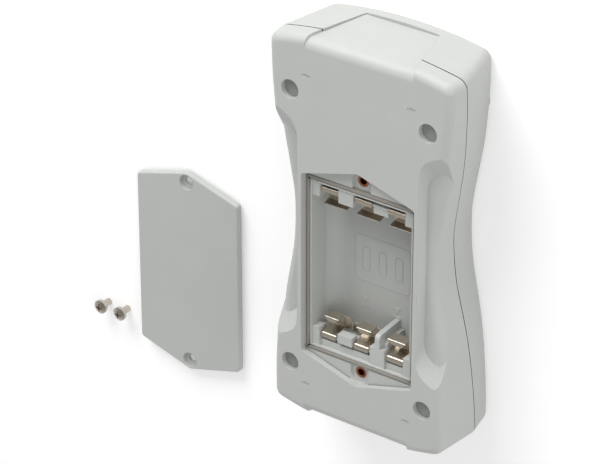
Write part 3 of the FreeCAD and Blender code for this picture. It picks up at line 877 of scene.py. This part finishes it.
@dataclass
class CaseShells:
    """The two shells, their seal, and the screws, inserts and plugs that close them."""

    finishes: Finishes
    corners: tuple[str, ...] = ("top_left", "top_right", "bottom_left", "bottom_right")

    def build(self) -> None:
        """Dress every piece of the case."""
        plugs = [SmoothSkin.of("screw_plug_" + corner, Slot.PLUG) for corner in self.corners]
        screws = SmoothSkin.of("case_screws", Slot.SCREW)
        inserts = SmoothSkin.of("case_inserts", Slot.INSERT)
        for piece in (RearShell(), FrontShell(), *plugs, screws, inserts):
            piece.build(self.finishes)
        self.finishes.dress(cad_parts["case_seal"], Slot.SEAL)
        LOG.info("case_seal: dressed in %s", Slot.SEAL.value)


@dataclass
class BatteryBay:
    """The open compartment: contacts, divider, bars, floor marks, seal and cover inserts."""

    finishes: Finishes
    top_contacts: tuple[str, ...] = ("contact_top_single", "contact_top_bridge")
    bottom_contacts: tuple[LegContact, ...] = (
        LegContact(
            "contact_bottom_bridge_strip",
            nodes=("contact_bottom_bridge",),
            hooks=((-19.1, -12.3), (-3.7, 2.9)),
            legs=((-18.7, -12.0), (-3.6, 3.4)),
            shoulder=3.0,
            bridges=((-8.5, -3.4),),
        ),
        LegContact(
            "contact_bottom_single_strip",
            nodes=("contact_bottom_single",),
            hooks=((10.9, 19.0),),
            legs=((10.9, 19.3),),
            shoulder=2.6,
        ),
    )

    def build(self) -> None:
        """Make the compartment's pieces in order."""
        top = [SmoothSkin.of(node, Slot.CONTACT, METAL_CREASE) for node in self.top_contacts]
        plastic = (CellDivider(), HolderBars(), FloorMarks())
        inserts = SmoothSkin.of("cover_inserts", Slot.INSERT)
        for piece in (*top, *self.bottom_contacts, *plastic, BaySeal(), inserts):
            piece.build(self.finishes)


@dataclass
class LooseCover:
    """The battery cover and its two screws, lying beside the case."""

    finishes: Finishes

    def build(self) -> None:
        """Dress the cover and its screws."""
        SmoothSkin.of("battery_cover", Slot.CASE).build(self.finishes)
        SmoothSkin.of("cover_screws", Slot.SCREW).build(self.finishes)


@dataclass(frozen=True)
class SoftBox:
    """A square lamp that shines at the case."""

    name: str
    hung_at: Triple
    size: float
    power: float

    def build(self, target: Vector) -> None:
        """Hang the lamp and turn it to a point.

        Args:
            target: The point that it shines at.
        """
        lamp = bpy.data.lights.new(self.name, "AREA")
        lamp.shape = "SQUARE"
        lamp.size = self.size
        lamp.energy = self.power
        holder = bpy.data.objects.new(self.name, lamp)
        holder.location = self.hung_at
        aim = target - Vector(self.hung_at)
        holder.rotation_euler = aim.to_track_quat("-Z", "Y").to_euler()
        bpy.context.scene.collection.objects.link(holder)


@dataclass(frozen=True)
class Studio:
    """Floor, lamps, sky and camera, in metres."""

    target: Triple = (0.0, 0.0, 0.02)
    floor_half: float = 2.5
    horizon_light: float = 1.0
    zenith_light: float = 0.3
    lamps: tuple[SoftBox, ...] = (
        SoftBox("key", (-0.4, 1.3, 0.57), 0.9, 17.0),
        SoftBox("fill", (0.95, 0.1, 0.7), 0.8, 3.0),
    )
    camera_place: Triple = (0.57995, 0.59156, 0.88156)
    camera_right: Triple = (0.8129, 0.0, -0.5824)
    camera_up: Triple = (-0.2878, 0.8694, -0.4017)
    camera_back: Triple = (0.5064, 0.4941, 0.7067)
    lens: float = 187.45
    sensor: float = 36.0

    def lay_floor(self) -> None:
        """Lay the pale floor under the case."""
        mesh = bmesh.new()
        bmesh.ops.create_grid(mesh, x_segments=1, y_segments=1, size=self.floor_half)
        floor = fresh_object("floor", mesh)
        floor.data.materials.append(PaleFloor().material())

    def spread_sky(self) -> None:
        """Set a sky that is white at the horizon and dimmer overhead."""
        world = bpy.data.worlds.new("sky")
        world.use_nodes = True
        tree = world.node_tree
        direction = tree.nodes.new("ShaderNodeTexCoord").outputs["Generated"]
        split = tree.nodes.new("ShaderNodeSeparateXYZ")
        tree.links.new(direction, split.inputs["Vector"])
        fade = tree.nodes.new("ShaderNodeMapRange")
        fade.inputs["To Min"].default_value = self.horizon_light
        fade.inputs["To Max"].default_value = self.zenith_light
        tree.links.new(split.outputs["Z"], fade.inputs["Value"])
        background = tree.nodes["Background"]
        background.inputs["Color"].default_value = (1.0, 1.0, 1.0, 1.0)
        tree.links.new(fade.outputs["Result"], background.inputs["Strength"])
        bpy.context.scene.world = world

    def place_camera(self) -> None:
        """Set the camera where the photograph was taken from."""
        data = bpy.data.cameras.new("camera")
        data.sensor_width = self.sensor
        data.lens = self.lens
        camera = bpy.data.objects.new("camera", data)
        turn = Matrix((self.camera_right, self.camera_up, self.camera_back)).transposed()
        camera.matrix_world = Matrix.Translation(self.camera_place) @ turn.to_4x4()
        bpy.context.scene.collection.objects.link(camera)
        bpy.context.scene.camera = camera

    def build(self) -> None:
        """Set up everything round the object."""
        self.lay_floor()
        self.spread_sky()
        for lamp in self.lamps:
            lamp.build(Vector(self.target))
        self.place_camera()
        bpy.context.scene.view_settings.view_transform = "Standard"


def main() -> None:
    """Dress the object and set up its studio."""
    logging.basicConfig(level=logging.INFO, format="%(name)s: %(message)s")
    finishes = Finishes()
    CaseShells(finishes).build()
    BatteryBay(finishes).build()
    LooseCover(finishes).build()
    Studio().build()


if __name__ == "__main__":
    main()
